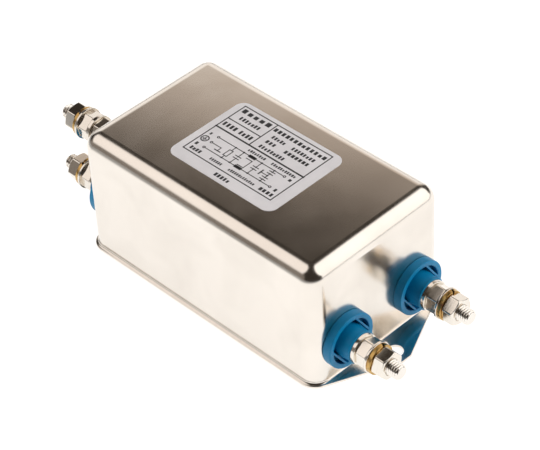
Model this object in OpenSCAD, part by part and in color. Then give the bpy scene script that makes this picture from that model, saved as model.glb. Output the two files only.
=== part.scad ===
// Mains interference filter in a drawn steel can, with threaded studs as its terminals.
// Millimetres, +Z up. The origin is at the middle of the underside.
// The load end faces +X and the line end faces -X. The live side is at -Y.
// Along a terminal, u is the distance outwards from the outer face of its end wall.

/* [Can] */
// Length over the end walls
can_l = 118; // [116:1:130]
// Width over the side walls
can_w = 66; // [66:1:76]
// Height from the underside to the top face
can_h = 53.5; // [53:0.5:64]
// Thickness of the sheet
can_t = 1; // [0.8:0.1:1.2]
// Outside radius of the upright corners and of the top edges
can_r = 6.4; // [5:0.2:6.4]
// Width of the flange round the foot
flange_w = 1.2; // [1.1:0.1:3]
// Radius where the walls run out into the flange
foot_fillet = 1; // [0.4:0.1:1.1]

/* [Fixing ears] */
// From the end wall to the middle of the fixing hole
ear_hole_out = 7.5; // [6.5:0.5:12]
// Radius of the fixing hole
ear_hole_r = 3; // [2:0.1:3.5]
// From the middle of the fixing hole to the ear's tip
ear_tip_reach = 5.5; // [5:0.5:9]
// Radius of the ear's two outer corners
ear_tip_r = 3; // [2:0.5:4]
// Half the straight edge at the ear's tip
ear_tip_half = 1.6; // [0.6:0.2:8]

/* [Label] */
// Length of the label
label_l = 52.2; // [40:0.2:60]
// Width of the label
label_w = 39.2; // [30:0.2:46]
// Thickness of the label
label_t = 0.15; // [0.1:0.05:0.4]
// Corner radius of the label
label_r = 4; // [2:0.5:8]
// Place of the label's middle along the can
label_x = -1.1; // [-8:0.1:8]
// Place of the label's middle across the can
label_y = 0.8; // [-2:0.1:2]

/* [Places of the terminals] */
// From an inner insulator to the foot of the upright corner
term_edge_gap = 0.1; // [0.1:0.1:2]
// Height of the earth stud, as a share of the wall's straight height
earth_z_share = 0.8493; // [0.8:0.0001:0.87]
// From the insulated live stud to the earth stud, towards the middle
earth_in = 1.7; // [0:0.1:20]

/* [Insulators] */
// Outside radius of the ring
ins_r = 11; // [10:0.5:12]
// Thickness of the web behind the recess
ins_web_t = 0.9; // [0.6:0.1:1.6]
// Height of the ring above the wall
ins_ring_h = 3.6; // [2:0.2:5]
// Wall of the ring
ins_ring_t = 2; // [1.2:0.1:2.4]
// Radius of the hub at its foot
hub_r = 6.6; // [6.2:0.1:6.7]
// Radius of the hub under its rim
hub_neck_r = 6.1; // [5.6:0.1:6.3]
// Radius of the hub's rim
hub_rim_r = 6.5; // [6.4:0.1:6.8]
// Height of the hub's rim
hub_rim_h = 0.6; // [0.3:0.1:1]
// Height of the hub above the wall
hub_h = 8.2; // [7.6:0.1:10]
// From the stud's axis to the middle of a rib
rib_at = 7.2; // [7.1:0.05:7.6]
// Thickness of a rib
rib_t = 0.8; // [0.4:0.1:0.8]
// Step from the ring's front down to the ribs
rib_drop = 0.1; // [0.05:0.05:0.6]
// Radius of the spigot that goes through the wall
spigot_r = 6.9; // [6:0.1:7]
// Length of the spigot inwards from the wall's outer face
spigot_l = 4; // [2.5:0.1:5]
// Outside radius of the inner insulator
inner_ins_r = 8.3; // [7.8:0.1:8.3]
// Floor of the inner insulator
inner_floor_t = 1.9; // [1:0.1:3]

/* [Studs, nuts and washers] */
// Radius over the thread
stud_r = 3; // [2.4:0.1:3.2]
// Pitch of the thread
thread_pitch = 1; // [0.8:0.05:1]
// Length of stud beyond the wire nut
stud_spare = 4.6; // [3:0.2:12]
// Length of stud beyond the backing nut
stud_in_spare = 1.2; // [0.6:0.1:1.8]
// Chamfer at the ends of a stud
stud_chamfer = 0.6; // [0.3:0.1:0.8]
// Height of the earth stud's head
earth_head_h = 4; // [3:0.2:5]
// Width of a nut across its flats
nut_af = 10; // [9:0.5:11]
// Height of a nut
nut_h = 5; // [4:0.2:5.4]
// Radius of a plain washer
washer_r = 6; // [5.6:0.1:6.3]
// Thickness of a plain washer
washer_t = 1.6; // [1:0.1:2]
// Radius of a flat washer under the wire
flat_r = 6.3; // [5.9:0.1:7]
// Thickness of a flat washer under the wire
flat_t = 1; // [0.6:0.1:1.6]
// Radius of a split lock washer
lock_r = 5.9; // [5:0.1:6]
// Thickness of a split lock washer
lock_t = 1.6; // [1.2:0.1:1.8]
// Width of the split
lock_slit = 0.8; // [0.4:0.1:1.2]

/* [Solder tags] */
// Radius of the tag's ring
tag_r = 5.5; // [4.5:0.1:6]
// Thickness of the tag
tag_t = 0.8; // [0.5:0.1:1.2]
// Width of the tag's strip
tag_w = 5; // [4:0.2:6]
// From the stud's axis to the hole for the winding's end
tag_reach = 10.8; // [10.4:0.2:12]

/* [Base] */
// Height of the base cover above the underside
cover_lift = 0.3; // [0.2:0.1:1]
// Thickness of the base cover
cover_t = 1; // [0.6:0.1:1.2]
// Thickness of the insulating sheet
sheet_t = 0.5; // [0.2:0.1:0.8]
// Depth of the potting compound, as a share of the wall's straight height
potting_share = 0.0977; // [0.07:0.0001:0.105]
// From the potting compound up to the inner insulators, as a share of the wall's straight height
potting_gap_share = 0.0361; // [0.01:0.0001:0.05]
// Potting compound below the parts that stand in it
potting_floor_t = 1.4; // [0.6:0.1:2]

/* [Choke] */
// Inside radius of the ferrite ring, as a share of its outside radius
core_in_share = 0.609; // [0.56:0.002:0.69]
// From the windings to the side walls
choke_side_gap = 5.4; // [3:0.2:7]
// Height of the ferrite ring
core_h = 26; // [24:0.5:34]
// Wall of the ring's case
case_t = 1; // [0.6:0.1:1.4]
// Radius of the winding wire
wire_r = 1.2; // [0.9:0.1:1.2]
// Part of the ring that one winding covers, in degrees
winding_angle = 100; // [94:2:130]
// Thickness of the divider between the windings
divider_t = 1.6; // [1:0.1:3]

/* [Capacitors and resistor] */
// From a line capacitor to the windings' straight ends, across the can
x_cap_side_gap = 2.45; // [1.5:0.05:6]
// From the windings to a line capacitor
x_cap_gap = 2.6; // [0.6:0.1:4]
// From a line capacitor to the studs' inner tips
x_cap_stud_gap = 2.3; // [0.6:0.1:4]
// From the end of a line capacitor to its lead
x_lead_in = 2.6; // [1:0.1:5]
// From the end of a line capacitor to the end of the earth capacitor beside it
y_cap_inset = 0.75; // [0:0.05:2]
// Thickness of an earth capacitor
y_cap_t = 6; // [4:0.2:8]
// Height of an earth capacitor
y_cap_h = 12; // [8:0.5:16]
// Reach of an earth capacitor inwards from the winding's end above it
y_cap_in = 0.7; // [0.5:0.1:1.1]
// Rise of an earth capacitor's lead before it turns to the wall
y_lead_rise = 4.8; // [2:0.2:5]
// Radius of the discharge resistor
resistor_r = 1.8; // [1.2:0.1:2.4]
// Length of the discharge resistor
resistor_l = 10; // [6:0.5:20]
// Radius of the leads
lead_r = 0.4; // [0.3:0.05:0.5]
// Size of an earth tag
earth_tag_w = 8; // [5:0.5:10]

/* [Hidden] */
$fn = 64;
// Clearances, and the overrun of a cut
running_fit = 0.05;
push_fit = 0.1;
washer_fit = 0.2;
over = 1;
// Steps in a drawn arc
arc_steps = 12;
fillet_steps = 6;
// Shares
nut_face_share = 0.95;
crest_share = 0.125;
thread_depth_share = 0.54;
tail_past_share = 0.8;
x_lead_share = 0.31;
y_lead_share = 0.23;
// Angles
nut_chamfer_angle = 30;
rib_turn = 34;
lock_slant = 25;
lock_turn = 70;
earth_head_turn = 0;
earth_fixing_turn = 57;
backing_turn = 15;
hex_sides = 6;
hex_half_step = 180 / hex_sides;

// Heights over the base
wall_h = can_h - can_r;
z_sheet = cover_lift + cover_t;
z_potting = z_sheet + sheet_t;
z_stand = z_potting + potting_floor_t;
potting_t = potting_share * wall_h;

// Places of the studs on the end walls
term_y = can_w / 2 - can_r - inner_ins_r - term_edge_gap;
term_z = z_potting + potting_t + potting_gap_share * wall_h + inner_ins_r;
earth_y = earth_in - term_y;
earth_z = earth_z_share * wall_h;
// Name, end, place across, height, turn of the clamp nut and turn of the wire nut
TERMINALS = [
    ["line_live", -1, -term_y, term_z, 20, 5],
    ["line_neutral", -1, term_y, term_z, 40, 25],
    ["load_live", 1, -term_y, term_z, 35, 69],
    ["load_neutral", 1, term_y, term_z, 84, 38],
    ["earth", -1, earth_y, earth_z, 18, 50]
];
INSULATED = [for (t = TERMINALS) if (t[0] != "earth") t];
EARTH = TERMINALS[len(TERMINALS) - 1];

// Places along a terminal
u_clamp = hub_h + washer_t;
u_flat = u_clamp + nut_h;
u_lock = u_flat + flat_t;
u_wire = u_lock + lock_t;
u_free = u_wire + nut_h;
u_tip = u_free + stud_spare;
u_inner_floor = -spigot_l - push_fit;
u_tag = u_inner_floor - inner_floor_t;
u_backing = u_tag - tag_t;
u_inner_tip = u_backing - nut_h - stud_in_spare;
earth_washer_t = hub_h - nut_h - lock_t;
nut_corner_r = nut_af / 2 / cos(hex_half_step);

// Heights of the leads and of the line capacitors
z_tail = term_z + tag_reach;
z_lead = z_tail + wire_r + lead_r + running_fit;
x_cap_h = z_lead - resistor_r - running_fit - z_stand;

// Sizes of the choke
wire_d = 2 * wire_r;
wind_out_r = can_w / 2 - can_t - choke_side_gap;
case_out_r = wind_out_r - wire_d - push_fit;
core_out_r = case_out_r - case_t - push_fit;
core_in_r = core_in_share * core_out_r;
case_in_r = core_in_r - push_fit - case_t;
case_h = case_t + core_h + push_fit;
wind_in_r = case_in_r - push_fit - wire_d;
wind_mid_r = wind_out_r - wire_r;
z_case = z_stand + wire_d + push_fit;
z_case_lid = z_case + case_h;
z_wind_top = z_case_lid + case_t + push_fit + wire_d;

// Places of the capacitors
x_cap_t = can_l / 2 + u_inner_tip - x_cap_stud_gap - x_cap_gap - wind_out_r;
x_cap_w = 2 * (term_y - x_cap_side_gap);
x_cap_x = wind_out_r + x_cap_gap + x_cap_t / 2;
x_lead_out = x_lead_share * x_cap_t;
y_cap_l = x_cap_t - 2 * y_cap_inset;
y_lead_out = y_lead_share * y_cap_l;
y_cap_y = term_y - y_cap_in + y_cap_t / 2;
z_y_lead = z_stand + y_cap_h + y_lead_rise;
wall_in_y = can_w / 2 - can_t;

// Points of an arc about c, from angle a0 to a1
function arc(c, r, a0, a1, steps = arc_steps) =
    [for (i = [0:steps]) c + r * [cos(a0 + (a1 - a0) * i / steps), sin(a0 + (a1 - a0) * i / steps)]];

// Angle of the normal of the outer tangent from circle c1 to circle c2
function tangent_normal(c1, r1, c2, r2) =
    atan2(c2[1] - c1[1], c2[0] - c1[0]) + acos((r1 - r2) / norm(c2 - c1));

// The outline whose first quarter is q, which runs from the X axis to the Y axis
function four_quarters(q) = let (n = len(q) - 1) concat(
    q,
    [for (i = [n:-1:0]) [-q[i][0], q[i][1]]],
    [for (p = q) -p],
    [for (i = [n:-1:0]) [q[i][0], -q[i][1]]]
);

function rounded_outline(l, w, r) = four_quarters(arc([l / 2 - r, w / 2 - r], r, 0, 90));

// Plate with upright rounded corners, on z = 0
module rounded_plate(l, w, r, t) {
    linear_extrude(t) polygon(rounded_outline(l, w, r));
}

// Quarter of a cylinder in the first quadrant, about Z
module quarter_rod(r, l) {
    rotate_extrude(angle = 90) square([r, l]);
}

// Block with round upright corners and round top edges, on z = 0
module rounded_block(l, w, h, r) {
    half_l = l / 2 - r;
    half_w = w / 2 - r;
    side_h = h - r;
    translate([-half_l, -half_w, 0]) cube([2 * half_l, 2 * half_w, h]);
    for (sx = [0, 1]) mirror([sx, 0, 0]) {
        translate([half_l, -half_w, 0]) cube([r, 2 * half_w, side_h]);
        translate([half_l, half_w, side_h]) rotate([90, 0, 0]) quarter_rod(r, 2 * half_w);
    }
    for (sy = [0, 1]) mirror([0, sy, 0]) {
        translate([-half_l, half_w, 0]) cube([2 * half_l, r, side_h]);
        translate([-half_l, half_w, side_h]) rotate([90, 0, 90]) quarter_rod(r, 2 * half_l);
    }
    for (sx = [0, 1], sy = [0, 1]) mirror([sx, 0, 0]) mirror([0, sy, 0]) translate([half_l, half_w, 0]) {
        quarter_rod(r, side_h);
        translate([0, 0, side_h]) intersection() {
            sphere(r);
            cube(r);
        }
    }
}

// Children in the frame of terminal t, whose X axis is u
module at_terminal(t) {
    translate([t[1] * can_l / 2, t[2], t[3]]) rotate([0, 0, t[1] > 0 ? 0 : 180]) children();
}

// Solid of revolution about u, from points of radius and u
module turned(points) {
    rotate([0, 90, 0]) rotate_extrude() polygon(points);
}

module rod_u(r, u0, u1) {
    translate([u0, 0, 0]) rotate([0, 90, 0]) cylinder(h = u1 - u0, r = r);
}

module ring_u(r_in, r_out, u0, u1) {
    difference() {
        rod_u(r_out, u0, u1);
        rod_u(r_in, u0 - over, u1 + over);
    }
}

// Hexagonal bar from u0, with a corner turned by turn from the Y axis
module hex_u(u0, h, turn) {
    rotate([turn + hex_half_step, 0, 0]) translate([u0, 0, 0]) rotate([0, 90, 0])
        cylinder(h = h, r = nut_corner_r, $fn = hex_sides);
}

// Hexagon nut from u0 outwards, with its corners and its bore chamfered
module nut(u0, turn) {
    bore_r = stud_r + running_fit;
    face_r = nut_face_share * nut_af / 2;
    far_r = nut_corner_r + over;
    slope = (far_r - face_r) * tan(nut_chamfer_angle);
    lead_in = stud_chamfer / 2;
    intersection() {
        hex_u(u0, nut_h, turn);
        turned([
            [bore_r, u0 + lead_in],
            [bore_r + lead_in, u0],
            [face_r, u0],
            [far_r, u0 + slope],
            [far_r, u0 + nut_h - slope],
            [face_r, u0 + nut_h],
            [bore_r + lead_in, u0 + nut_h],
            [bore_r, u0 + nut_h - lead_in]
        ]);
    }
}

// Split lock washer from u0 outwards
module lock_washer(u0) {
    bore_r = stud_r + push_fit;
    difference() {
        ring_u(bore_r, lock_r, u0, u0 + lock_t);
        rotate([lock_turn, 0, 0]) translate([u0 + lock_t / 2, (bore_r + lock_r) / 2, 0])
            rotate([0, lock_slant, 0])
            cube([lock_t + 2 * over, lock_r - bore_r + 2 * over, lock_slit], center = true);
    }
}

// Stud from u0 to its tip. The thread is a plain cylinder, with one turn cut beside the wire nut
module stud_shank(u0) {
    groove = thread_pitch * (1 - crest_share);
    root_r = stud_r - thread_depth_share * thread_pitch;
    flank = (groove - crest_share * thread_pitch) / 2;
    turned([
        [0, u0],
        [stud_r - stud_chamfer, u0],
        [stud_r, u0 + stud_chamfer],
        [stud_r, u_free],
        [root_r, u_free + flank],
        [root_r, u_free + groove - flank],
        [stud_r, u_free + groove],
        [stud_r, u_tip - stud_chamfer],
        [stud_r - stud_chamfer, u_tip],
        [0, u_tip]
    ]);
}

module can() {
    corner = [can_l / 2 - can_r, can_w / 2 - can_r];
    corner_r = can_r + flange_w;
    tip = [can_l / 2 + ear_hole_out + ear_tip_reach - ear_tip_r, ear_tip_half];
    turn = tangent_normal(corner, corner_r, tip, ear_tip_r);
    color("silver") difference() {
        union() {
            rounded_block(can_l, can_w, can_h, can_r);
            linear_extrude(can_t) polygon(four_quarters(concat(
                arc(tip, ear_tip_r, 0, turn),
                arc(corner, corner_r, turn, 90)
            )));
            foot_run_out(corner);
        }
        translate([0, 0, -over])
            rounded_block(can_l - 2 * can_t, can_w - 2 * can_t, can_h - can_t + over, can_r - can_t);
        for (sx = [-1, 1]) translate([sx * (can_l / 2 + ear_hole_out), 0, -over])
            cylinder(h = can_t + 2 * over, r = ear_hole_r);
        for (t = INSULATED) at_terminal(t) rod_u(spigot_r + push_fit, -can_t - over, over);
        at_terminal(EARTH) rod_u(stud_r + push_fit, -can_t - over, over);
    }
}

// Hollow curve from the walls into the flange, rooted half a sheet inside the wall
module foot_run_out(corner) {
    profile = concat(
        [[-can_t / 2, 0], [foot_fillet, 0]],
        arc([foot_fillet, foot_fillet], foot_fillet, 270, 180, fillet_steps),
        [[-can_t / 2, foot_fillet]]
    );
    translate([0, 0, can_t]) {
        for (sx = [0, 1], sy = [0, 1]) mirror([sx, 0, 0]) mirror([0, sy, 0]) translate(corner)
            rotate_extrude(angle = 90) translate([can_r, 0]) polygon(profile);
        for (sx = [0, 1]) mirror([sx, 0, 0]) translate([can_l / 2, corner[1], 0]) rotate([90, 0, 0])
            linear_extrude(2 * corner[1]) polygon(profile);
        for (sy = [0, 1]) mirror([0, sy, 0]) translate([-corner[0], can_w / 2, 0]) rotate([90, 0, 90])
            linear_extrude(2 * corner[0]) polygon(profile);
    }
}

module label() {
    color("white") translate([label_x, label_y, can_h])
        rounded_plate(label_l, label_w, label_r, label_t);
}

// Plate that fills the can from wall to wall
module can_filling(t) {
    gap = 2 * (can_t + push_fit);
    rounded_plate(can_l - gap, can_w - gap, can_r - gap / 2, t);
}

module base_cover() {
    color("silver") translate([0, 0, cover_lift]) can_filling(cover_t);
}

module base_insulation() {
    color("khaki") translate([0, 0, z_sheet]) can_filling(sheet_t);
}

module potting() {
    color("dimgray") difference() {
        translate([0, 0, z_potting]) can_filling(potting_t);
        translate([0, 0, z_stand]) cylinder(h = potting_t, r = wind_out_r + push_fit);
        for (sx = [-1, 1]) translate([sx * x_cap_x, 0, z_stand])
            upright_box(x_cap_t + 2 * push_fit, x_cap_w + 2 * push_fit, potting_t);
        for (sy = [-1, 1]) translate([x_cap_x, sy * y_cap_y, z_stand])
            upright_box(y_cap_l + 2 * push_fit, y_cap_t + 2 * push_fit, potting_t);
    }
}

// Box on z = 0 about the Z axis
module upright_box(l, w, h) {
    translate([-l / 2, -w / 2, 0]) cube([l, w, h]);
}

// Ring on z = 0 about the Z axis
module upright_ring(r_in, r_out, h) {
    difference() {
        cylinder(h = h, r = r_out);
        translate([0, 0, -over]) cylinder(h = h + 2 * over, r = r_in);
    }
}

module choke_core() {
    color("dimgray") translate([0, 0, z_case + case_t]) upright_ring(core_in_r, core_out_r, core_h);
}

module choke_case() {
    color("ivory") translate([0, 0, z_case]) difference() {
        upright_ring(case_in_r, case_out_r, case_h);
        translate([0, 0, case_t]) upright_ring(case_in_r + case_t, case_out_r - case_t, case_h);
    }
}

module choke_case_lid() {
    color("ivory") translate([0, 0, z_case_lid]) upright_ring(case_in_r, case_out_r, case_t);
}

module choke_divider() {
    color("ivory") translate([0, 0, z_stand])
        upright_box(2 * sqrt(pow(case_in_r - running_fit, 2) - pow(divider_t / 2, 2)), divider_t, z_case_lid - z_stand);
}

// Winding on the side sy, with its two straight ends out to the solder tags
module winding(sy) {
    tail_in = sqrt(pow(wind_mid_r, 2) - pow(term_y, 2));
    tail_out = can_l / 2 + u_inner_floor - inner_floor_t * (1 - tail_past_share);
    color("peru") {
        rotate([0, 0, sy * 90 - winding_angle / 2]) translate([0, 0, z_stand])
            rotate_extrude(angle = winding_angle) difference() {
                translate([wind_in_r, 0]) square([wind_out_r - wind_in_r, z_wind_top - z_stand]);
                translate([wind_in_r + wire_d, wire_d])
                    square([wind_out_r - wind_in_r - 2 * wire_d, z_wind_top - z_stand - 2 * wire_d]);
            }
        for (sx = [0, 1]) mirror([sx, 0, 0]) translate([0, sy * term_y, z_tail])
            rod_u(wire_r, tail_in, tail_out);
    }
}

// Lead that rises from z0 to z1 and then runs along Y for l, towards the side sy
module bent_lead(z0, z1, l, sy) {
    translate([0, 0, z0]) cylinder(h = z1 - z0, r = lead_r);
    translate([0, 0, z1]) {
        sphere(lead_r);
        rotate([-sy * 90, 0, 0]) cylinder(h = l, r = lead_r);
    }
}

module x_capacitor(sx) {
    lead_y = x_cap_w / 2 - x_lead_in;
    color("gold") translate([sx * x_cap_x, 0, 0]) {
        translate([0, 0, z_stand]) upright_box(x_cap_t, x_cap_w, x_cap_h);
        for (sy = [-1, 1]) translate([sx * x_lead_out, sy * lead_y, 0])
            bent_lead(z_stand + x_cap_h - lead_r, z_lead, term_y + wire_r - lead_y, sy);
    }
}

module y_capacitor(sy) {
    top = z_stand + y_cap_h;
    color("royalblue") translate([x_cap_x, 0, 0]) {
        translate([0, sy * y_cap_y, z_stand]) upright_box(y_cap_l, y_cap_t, y_cap_h);
        translate([-y_lead_out, sy * term_y, top - lead_r])
            cylinder(h = z_tail - wire_r - running_fit - top + lead_r, r = lead_r);
        translate([y_lead_out, sy * y_cap_y, 0])
            bent_lead(top - lead_r, z_y_lead, wall_in_y - tag_t - running_fit - y_cap_y, sy);
    }
}

module earth_tags() {
    color("silver") for (sy = [-1, 1])
        translate([x_cap_x + y_lead_out, sy * (wall_in_y - tag_t / 2), z_y_lead - earth_tag_w / 2])
            upright_box(earth_tag_w, tag_t, earth_tag_w);
}

module discharge_resistor() {
    color("tan") translate([-x_cap_x, 0, z_lead]) rotate([90, 0, 0]) {
        translate([0, 0, -resistor_l / 2]) cylinder(h = resistor_l, r = resistor_r);
        translate([0, 0, -term_y - wire_r]) cylinder(h = 2 * (term_y + wire_r), r = lead_r);
    }
}

module insulator(t) {
    bore_r = stud_r + running_fit;
    ring_in = ins_r - ins_ring_t;
    rib_l = 2 * sqrt(pow(ring_in, 2) - pow(rib_at - rib_t / 2, 2)) + ins_ring_t / 2;
    color("dodgerblue") at_terminal(t) {
        turned([
            [bore_r, -spigot_l],
            [spigot_r, -spigot_l],
            [spigot_r, 0],
            [ins_r, 0],
            [ins_r, ins_ring_h],
            [ring_in, ins_ring_h],
            [ring_in, ins_web_t],
            [hub_r, ins_web_t],
            [hub_neck_r, hub_h - hub_rim_h],
            [hub_rim_r, hub_h - hub_rim_h],
            [hub_rim_r, hub_h],
            [bore_r, hub_h]
        ]);
        for (side = [-1, 1]) rotate([rib_turn, 0, 0])
            translate([ins_web_t / 2, side * rib_at - rib_t / 2, -rib_l / 2])
            cube([ins_ring_h - rib_drop - ins_web_t / 2, rib_t, rib_l]);
    }
}

module inner_insulator(t) {
    bore_r = stud_r + running_fit;
    pocket_r = spigot_r + push_fit;
    color("dodgerblue") at_terminal(t) turned([
        [bore_r, u_tag],
        [inner_ins_r, u_tag],
        [inner_ins_r, -can_t],
        [pocket_r, -can_t],
        [pocket_r, u_inner_floor],
        [bore_r, u_inner_floor]
    ]);
}

module solder_tags() {
    color("gainsboro") for (t = INSULATED) at_terminal(t) difference() {
        union() {
            rod_u(tag_r, u_backing, u_tag);
            translate([u_backing, -tag_w / 2, 0]) cube([tag_t, tag_w, tag_reach + tag_w / 2]);
        }
        rod_u(stud_r + running_fit, u_backing - over, u_tag + over);
        translate([0, 0, tag_reach]) rod_u(wire_r + running_fit, u_backing - over, u_tag + over);
    }
}

module backing_nuts() {
    color("gainsboro") for (t = INSULATED) at_terminal(t) nut(u_backing - nut_h, backing_turn);
}

module stud(t) {
    color("gainsboro") at_terminal(t) {
        if (t[0] == "earth") {
            stud_shank(-can_t - earth_head_h / 2);
            hex_u(-can_t - earth_head_h, earth_head_h, earth_head_turn);
        } else stud_shank(u_inner_tip);
    }
}

module plain_washer(u0, t) {
    ring_u(stud_r + washer_fit, washer_r, u0, u0 + t);
}

module plain_washers() {
    color("gainsboro") {
        for (t = TERMINALS) at_terminal(t) plain_washer(hub_h, washer_t);
        at_terminal(EARTH) plain_washer(0, earth_washer_t);
    }
}

module clamp_nuts() {
    color("gainsboro") for (t = TERMINALS) at_terminal(t) nut(u_clamp, t[4]);
}

module earth_lock_washer() {
    color("darkkhaki") at_terminal(EARTH) lock_washer(earth_washer_t);
}

module earth_fixing_nut() {
    color("gainsboro") at_terminal(EARTH) nut(earth_washer_t + lock_t, earth_fixing_turn);
}

module flat_washer(t) {
    color("gainsboro") at_terminal(t) ring_u(stud_r + washer_fit, flat_r, u_flat, u_lock);
}

module wire_lock_washer(t) {
    color("darkkhaki") at_terminal(t) lock_washer(u_lock);
}

module wire_nut(t) {
    color("gainsboro") at_terminal(t) nut(u_wire, t[5]);
}

can();
label();
base_cover();
base_insulation();
potting();
choke_core();
choke_case();
choke_case_lid();
choke_divider();
winding(-1);  // winding_live
winding(1);  // winding_neutral
x_capacitor(-1);  // x_capacitor_line
x_capacitor(1);  // x_capacitor_load
y_capacitor(-1);  // y_capacitor_live
y_capacitor(1);  // y_capacitor_neutral
earth_tags();
discharge_resistor();
solder_tags();
backing_nuts();
plain_washers();
clamp_nuts();
earth_lock_washer();
earth_fixing_nut();
for (t = INSULATED) {
    insulator(t);
    inner_insulator(t);
}
for (t = TERMINALS) {
    stud(t);
    flat_washer(t);
    wire_lock_washer(t);
    wire_nut(t);
}
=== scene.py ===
"""Dresses the mains interference filter.

It has a plated can, a label, blue insulators, and threaded studs with their hardware. Sizes are in
millimetres until a mesh is finished. The frame is the CAD's: +Z up, the load end at +X. Along a
terminal, u is the distance outwards from the outer face of its end wall.
"""
import logging
import math
import random
from abc import ABC, abstractmethod
from dataclasses import dataclass, field
from enum import Enum
from typing import Callable, Iterable, Optional, Sequence

import bmesh
import bpy
from mathutils import Matrix, Vector


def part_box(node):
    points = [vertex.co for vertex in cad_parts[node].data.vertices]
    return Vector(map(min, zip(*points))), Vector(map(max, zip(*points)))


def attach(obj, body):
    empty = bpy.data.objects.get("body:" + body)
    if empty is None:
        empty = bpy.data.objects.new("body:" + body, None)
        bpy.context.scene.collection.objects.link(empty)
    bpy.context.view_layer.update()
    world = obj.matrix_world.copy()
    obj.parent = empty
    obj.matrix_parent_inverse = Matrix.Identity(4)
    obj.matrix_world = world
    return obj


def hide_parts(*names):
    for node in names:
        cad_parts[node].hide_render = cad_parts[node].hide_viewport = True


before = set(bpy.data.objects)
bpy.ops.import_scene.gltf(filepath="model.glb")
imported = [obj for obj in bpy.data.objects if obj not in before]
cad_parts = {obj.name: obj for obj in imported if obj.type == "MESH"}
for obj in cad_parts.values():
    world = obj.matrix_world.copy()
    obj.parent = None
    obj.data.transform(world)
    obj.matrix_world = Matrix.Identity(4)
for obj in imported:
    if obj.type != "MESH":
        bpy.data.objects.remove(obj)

LOG = logging.getLogger("filter")
FILTER = "filter"
MM = 0.001
WELD = 1e-5
SIDE_SHARE = 0.45
HEX_SIDE = 60

Point = tuple[float, float]
Triple = tuple[float, float, float]
Colour = tuple[float, float, float]
Profile = list[Point]


class End(Enum):
    """The end wall that a terminal stands on."""

    LINE = -1
    LOAD = 1


class Weave(Enum):
    """How a metal face was last worked."""

    SATIN = "satin"
    TURNED = "turned"
    DRAWN = "drawn"


def arc(centre: Point, radius: float, start: float, stop: float, steps: int) -> Profile:
    """Draws an arc.

    Args:
        centre: Middle of the arc.
        radius: Its radius.
        start: First angle, in degrees.
        stop: Last angle, in degrees.
        steps: Number of chords.

    Returns:
        The points from start to stop.
    """
    turns = [math.radians(start + (stop - start) * i / steps) for i in range(steps + 1)]
    return [(centre[0] + radius * math.cos(a), centre[1] + radius * math.sin(a)) for a in turns]


def circle(centre: Point, radius: float, steps: int) -> Profile:
    """Draws a whole circle in that many even steps."""
    return arc(centre, radius, 0, 360 - 360 / steps, steps - 1)


def even_columns(count: int) -> list[float]:
    """Angles of that many even steps round a circle, in radians."""
    return [2 * math.pi * i / count for i in range(count)]


def eased(corners: Sequence[Point], ease: float, steps: int = 3) -> Profile:
    """Rounds every corner of a closed profile.

    Args:
        corners: The profile's corners, in order.
        ease: How far from its corner a rounding starts.
        steps: Number of chords in a rounding.

    Returns:
        The profile with each corner drawn as a small curve.
    """
    made: Profile = []
    count = len(corners)
    for i, corner in enumerate(corners):
        here = Vector(corner)
        before, after = Vector(corners[i - 1]), Vector(corners[(i + 1) % count])
        reach_in = min(ease, SIDE_SHARE * (before - here).length)
        reach_out = min(ease, SIDE_SHARE * (after - here).length)
        first = here + (before - here).normalized() * reach_in
        last = here + (after - here).normalized() * reach_out
        for k in range(steps + 1):
            s = k / steps
            spot = first * (1 - s) ** 2 + here * (2 * s * (1 - s)) + last * s ** 2
            made.append((spot.x, spot.y))
    return made


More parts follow.
